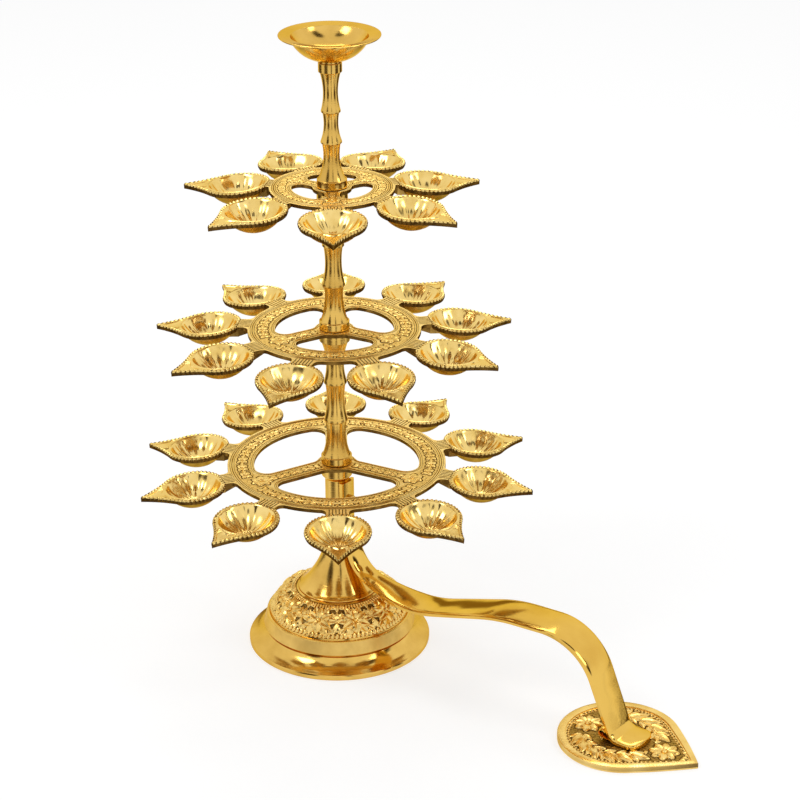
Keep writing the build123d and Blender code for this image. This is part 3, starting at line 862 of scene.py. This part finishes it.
def strap_half(reach):
    """Half of the strap's width at a reach along +X, eased from one width to the next."""
    last_reach, last_half = widths[-1]
    if reach >= last_reach:
        return last_half * sqrt(max(1 - ((reach - last_reach) / tongue_round) ** 2, 0.002))
    if reach <= widths[0][0]:
        return widths[0][1]
    for (low, low_half), (high, high_half) in zip(widths, widths[1:]):
        if reach <= high:
            share = (reach - low) / (high - low)
            return low_half + (high_half - low_half) * share * share * (3 - 2 * share)


def strap_section(half, thickness):
    """The strap's section as (across, up) points: crowned on top, with eased edges."""
    up = thickness / 2
    flat = max(half - edge_round, 0.1 * half)
    shares = [step / 6 - 1 for step in range(13)]
    top = [(share * flat, up - crown * share * share) for share in shares]
    side = up - crown - 0.7 * edge_round
    low = 0.5 * edge_round - up
    return [*top, (half, side), (half, low), (flat, -up), (-flat, -up), (-half, low), (-half, side)]


def sweep_strap(bm, line, halves, thickness):
    """Draw the strap's section along a line in the XZ plane and close its ends."""
    loops = []
    for (point, way), half in zip(line, halves):
        normal = Vector((-way.y, way.x))
        verts = []
        for across, up in strap_section(half, thickness):
            spot = point + normal * up
            verts.append(bm.verts.new((spot.x, across, spot.y)))
        loops.append([bm.edges.new(pair) for pair in zip(verts, verts[1:] + verts[:1])])
    for first, second in zip(loops, loops[1:]):
        bmesh.ops.bridge_loops(bm, edges=first + second)
    for loop in (loops[0], loops[-1]):
        bmesh.ops.edgeloop_fill(bm, edges=loop)


strap = bmesh.new()
spine = bent_line(route, bends, 16)
tail_point, tail_way = spine.pop()
landing = spine[-1][0].x
for step in range(1, 15):
    reach = landing + (tail_point.x - landing) * sin(pi / 2 * step / 14)
    spine.append((Vector((reach, tail_point.y)), tail_way))
sweep_strap(strap, spine, [strap_half(point.x) for point, way in spine], strap_thickness)
curl = [(Vector((192.0, curl_centre[1] - curl_radius)), Vector((-1, 0)))]
for step in range(13):
    turn = radians(-90 - curl_sweep * step / 12)
    out = Vector((cos(turn), sin(turn)))
    curl.append((Vector(curl_centre) + curl_radius * out, Vector((out.y, -out.x))))
sweep_strap(strap, curl, [curl_half] * len(curl), curl_thickness)
bmesh.ops.recalc_face_normals(strap, faces=strap.faces)


def strap_brass():
    """Strap brass, buffed almost to a mirror, with shallow ripples from the hammer and the buff."""
    material = metal("strap_brass", (0.82, 0.52, 0.11), (0.72, 0.43, 0.08), 45, 0.08, 0.08)
    ripples = pattern(material, "ShaderNodeTexNoise", 42, 1.0)
    relief(material, ripples.outputs["Fac"], 0.35, 0.0016)
    return material


hang(strap, "strap_handle", "stand", [strap_brass()], ["handle_strap"])

# Leaf plate: a flat brass casting that the handle rests on. A plain raised border runs round it, scalloped
# inside, and its sunk, dotted ground, dark with painted shade and some patina, carries two flowers, leafy
# stems and a row of beads in relief.
leaf_low, leaf_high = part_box("leaf_plate")
leaf_radius, leaf_height = leaf_high.y * 1000, leaf_high.z * 1000
leaf_centre = leaf_low.x * 1000 + leaf_radius
leaf_tip, leaf_join, leaf_border, ground_drop = leaf_high.x * 1000 - leaf_centre, 51.0, 4.4, 1.1
scallops, scallop_depth, leaf_around, leaf_beads = 60, 0.7, 360, 84
leaf_floor = leaf_height - ground_drop


def leaf_edge(turn, inset, height):
    """A point set in from the leaf's outline."""
    reach = leaf_reach(turn, leaf_radius, leaf_radius, leaf_tip, leaf_join) - inset
    return polar(turn, reach, height)


def scallop(turn):
    """How far the border's inner edge is cut into at a turn."""
    return scallop_depth * (1 - abs(sin(scallops / 2 * turn)))


leaf = bmesh.new()
bmesh.ops.create_circle(leaf, cap_ends=False, segments=leaf_around, radius=leaf_radius)
rim_edge = list(leaf.edges)
for vert in leaf.verts:
    vert.co = leaf_edge(atan2(vert.co.y, vert.co.x), 0, 0.35)
border_section = [
    (0, 0, leaf_height - 0.5, 0), (0.15, 0, leaf_height - 0.15, 0), (0.5, 0, leaf_height, 0),
    (leaf_border - 0.3, 0, leaf_height, 0), (leaf_border, 0, leaf_height - 0.2, 0),
    (leaf_border + 0.1, 0, leaf_floor + 0.35, 0), (leaf_border + 0.5, 1, leaf_floor + 0.3, 0),
    (leaf_border + 0.7, 1, leaf_floor, 1), (leaf_border + 3.0, 0, leaf_floor, 1),
]
edge = rim_edge
for inset, cut, height, material in border_section:
    edge = draw_ring(leaf, edge, lambda turn: leaf_edge(turn, inset + cut * scallop(turn), height), material)
# The sunk ground takes the dark ground brass: painted shade with some patina.
for face in bmesh.ops.edgeloop_fill(leaf, edges=edge)["faces"]:
    face.material_index = 1
edge = draw_ring(leaf, rim_edge, lambda turn: leaf_edge(turn, 0.35, 0))
bmesh.ops.edgeloop_fill(leaf, edges=edge)
bmesh.ops.recalc_face_normals(leaf, faces=leaf.faces)
bmesh.ops.translate(leaf, vec=(leaf_centre, 0, 0), verts=leaf.verts)
hang(leaf, "leaf_rest_plate", "stand", [cast, shaded_ground], ["leaf_plate"])

leaf_petal = chased_leaf("leaf_petal", 5.8, 4.4, 1.2, 0.4, 0.95)
leaf_blade = chased_leaf("leaf_blade", 7.6, 4.2, 1.0, 0.45, 0.75)
leaf_heart = bead_form("leaf_heart", 1.4, 1.3)
leaf_bead = bead_form("leaf_bead", 0.8, 0.6)


def cut_leaf(bm, x, y, turn, size):
    """Set a leaf with three lobes."""
    for bend, length in ((-38, 0.72), (38, 0.72), (0, 1.0)):
        chase(bm, leaf_blade, x, y, turn + radians(bend), length * size)


foliage = bmesh.new()
for place in (-19.8, 28.3):
    blossom(foliage, leaf_petal, leaf_heart, place, 0, 8, turn=radians(22.5), size=1.2, gap=1.2)
for bead in range(leaf_beads):
    spot = leaf_edge(2 * pi * bead / leaf_beads, leaf_border + 1.7, 0)
    strew(foliage, leaf_bead, spot.x, spot.y)
for side in (-1, 1):
    for step in range(6):
        turn = side * radians(146 - 21.0 * step)
        spot = leaf_edge(turn, leaf_border + 9.6, 0)
        along = turn - side * pi / 2
        chase(foliage, leaf_blade, spot.x, spot.y, along - side * radians(42), 0.95)
        cut_leaf(foliage, spot.x, spot.y, along + side * radians(34), 1.45)
        strew(foliage, stalk, spot.x, spot.y, along, 1.7)
    for x, y, turn in ((-27.0, 4.4, 130), (-7, 6, 60), (36.8, 4.6, 35), (38.6, 0.9, 10), (19.5, 4.5, 60)):
        chase(foliage, leaf_blade, x, side * y, side * radians(turn), 0.55)
bmesh.ops.translate(foliage, vec=(leaf_centre, 0, leaf_floor), verts=foliage.verts)
hang(foliage, "leaf_plate_foliage", "stand", [cast, patina_and_shade])

# Studio: a pale floor that runs past every view, a white room, soft lamps high up on both sides and behind,
# and dark cards that only reflections see, which give the polished brass its streaks.
floor_mesh = bmesh.new()
bmesh.ops.create_grid(floor_mesh, x_segments=1, y_segments=1, size=30)
floor = show("floor", as_mesh(floor_mesh, "floor"))
floor_paint = bpy.data.materials.new("floor_paint")
floor_paint.use_nodes = True
floor_shader = floor_paint.node_tree.nodes["Principled BSDF"]
adjust(floor_shader, {"Base Color": (0.42, 0.42, 0.42, 1), "Roughness": 0.9})
adjust(floor_shader, {"Specular IOR Level": 0.0, "Emission Color": (1, 1, 1, 1)})
floor.data.materials.append(floor_paint)


def seen_share(tree, hidden, shown):
    """One value for what the camera, mirrors and glass see, and another for the light given off."""
    rays = tree.nodes.new("ShaderNodeLightPath")
    total = rays.outputs["Is Camera Ray"]
    for ray in ("Is Glossy Ray", "Is Transmission Ray"):
        added = tree.nodes.new("ShaderNodeMath")
        added.operation = "ADD"
        added.use_clamp = True
        tree.links.new(total, added.inputs[0])
        tree.links.new(rays.outputs[ray], added.inputs[1])
        total = added.outputs["Value"]
    level = tree.nodes.new("ShaderNodeMapRange")
    adjust(level, {"To Min": hidden, "To Max": shown})
    tree.links.new(total, level.inputs["Value"])
    return level.outputs["Result"]


floor_glow = seen_share(floor_paint.node_tree, 0.0, 0.66)
floor_paint.node_tree.links.new(floor_glow, floor_shader.inputs["Emission Strength"])

room = bpy.data.worlds.new("white_room")
bpy.context.scene.world = room
room.use_nodes = True
background = room.node_tree.nodes["Background"]
adjust(background, {"Color": (1, 1, 1, 1)})
room.node_tree.links.new(seen_share(room.node_tree, 0.6, 1.0), background.inputs["Strength"])


def face_point(obj, place, target):
    """Stand a lamp, a card or the camera at a place and turn it to a point."""
    obj.location = place
    obj.rotation_euler = (Vector(target) - Vector(place)).to_track_quat("-Z", "Y").to_euler()


def soft_lamp(name, place, target, width, height, power):
    """Hang a rectangular soft box."""
    lamp = bpy.data.lights.new(name, "AREA")
    lamp.shape = "RECTANGLE"
    lamp.size, lamp.size_y, lamp.energy = width, height, power
    face_point(show(name, lamp), place, target)


def dark_card(name, bearing, rise, distance, width, height, paint):
    """Stand a card that only reflections see, facing the lamp, at degrees round from the camera and up."""
    card_mesh = bmesh.new()
    bmesh.ops.create_grid(card_mesh, x_segments=1, y_segments=1, size=0.5)
    bmesh.ops.scale(card_mesh, vec=(width, height, 1), verts=card_mesh.verts)
    card = show(name, as_mesh(card_mesh, name))
    card.data.materials.append(paint)
    turn, up = radians(front_turn + bearing), radians(rise)
    way = Vector((cos(turn) * cos(up), sin(turn) * cos(up), sin(up)))
    face_point(card, focus + way * distance, focus)
    card.visible_camera = card.visible_shadow = card.visible_diffuse = False
    return card


def floor_card(name, bearing, start, end, width):
    """Lay a dark card on the floor, pointing away from the lamp, for the upright faces to mirror."""
    card = dark_card(name, bearing, 0, 1, width, end - start, umber)
    turn = radians(front_turn + bearing)
    card.location = ((start + end) / 2 * cos(turn), (start + end) / 2 * sin(turn), 0.001)
    card.rotation_euler = (0, 0, turn + pi / 2)


def card_paint(name, colour):
    """Dull paint that thins out to nothing towards the edges of a card."""
    paint = bpy.data.materials.new(name)
    paint.use_nodes = True
    tree = paint.node_tree
    shader = tree.nodes["Principled BSDF"]
    adjust(shader, {"Base Color": (*colour, 1), "Specular IOR Level": 0.0})
    place = tree.nodes.new("ShaderNodeTexCoord")
    centre = tree.nodes.new("ShaderNodeMapping")
    adjust(centre, {"Location": (-1, -1, 0), "Scale": (2, 2, 0)})
    fade = tree.nodes.new("ShaderNodeTexGradient")
    fade.gradient_type = "SPHERICAL"
    cover = tree.nodes.new("ShaderNodeMapRange")
    adjust(cover, {"From Max": 0.3})
    tree.links.new(place.outputs["Generated"], centre.inputs["Vector"])
    tree.links.new(centre.outputs["Vector"], fade.inputs["Vector"])
    tree.links.new(fade.outputs["Fac"], cover.inputs["Value"])
    tree.links.new(cover.outputs["Result"], shader.inputs["Alpha"])
    return paint


umber = card_paint("umber_paint", (0.10, 0.065, 0.025))
amber = card_paint("amber_paint", (0.50, 0.34, 0.14))
camera_distance, camera_height = 1.191, 0.679
heading, tilt, roll = radians(126.77), radians(23.95), radians(-0.27)
view_turn = radians(front_turn)
toward = Vector((cos(view_turn), sin(view_turn), 0))
across = Vector((-toward.y, toward.x, 0))
focus = Vector((0, 0, 0.18))
soft_lamp("key_lamp", toward * 0.5 - across * 1.0 + Vector((0, 0, 1.5)), focus, 0.55, 0.55, 6)
soft_lamp("fill_lamp", toward * 0.6 + across * 1.2 + Vector((0, 0, 1.1)), focus, 0.4, 0.7, 4)
soft_lamp("back_lamp", -toward * 1.0 + Vector((0, 0, 1.5)), focus, 0.9, 0.4, 4)
dark_card("left_card", -42, 22, 2.3, 1.2, 1.6, umber)
dark_card("camera_card", 11, 22, 2.4, 0.4, 1.3, umber)
dark_card("right_card", 70, 24, 2.3, 1.2, 1.4, umber)
dark_card("back_card", 184, 3, 2.2, 2.0, 0.46, amber)
dark_card("roof_left_card", -60, 62, 2.0, 0.7, 1.2, umber)
dark_card("roof_right_card", 66, 64, 2.0, 0.6, 1.2, umber)
floor_card("near_left_strip", -40, 0.10, 0.9, 0.36)
floor_card("far_left_strip", -40, 0.5, 2.8, 1.0)
floor_card("near_front_strip", 12, 0.12, 0.9, 0.1)
floor_card("far_front_strip", 12, 0.5, 2.8, 0.3)
floor_card("near_right_strip", 66, 0.10, 0.9, 0.36)
floor_card("far_right_strip", 66, 0.5, 2.8, 1.0)
floor_card("left_strip", -108, 0.15, 2.8, 1.0)
floor_card("right_strip", 122, 0.15, 2.8, 1.0)

lens = bpy.data.cameras.new("camera")
lens.sensor_width, lens.lens = 36.0, 104.85
camera = show("camera", lens)
bpy.context.scene.camera = camera
level_way = Vector((cos(heading), sin(heading), 0))
level_right = Vector((sin(heading), -cos(heading), 0))
way = level_way * cos(tilt) - Vector((0, 0, sin(tilt)))
up = level_way * sin(tilt) + Vector((0, 0, cos(tilt)))
right = level_right * cos(roll) + up * sin(roll)
up = up * cos(roll) - level_right * sin(roll)
camera.matrix_world = Matrix.Translation(toward * camera_distance + Vector((0, 0, camera_height))) @ Matrix(
    (right, up, -way)
).transposed().to_4x4()

bpy.context.scene.view_settings.view_transform = "Standard"
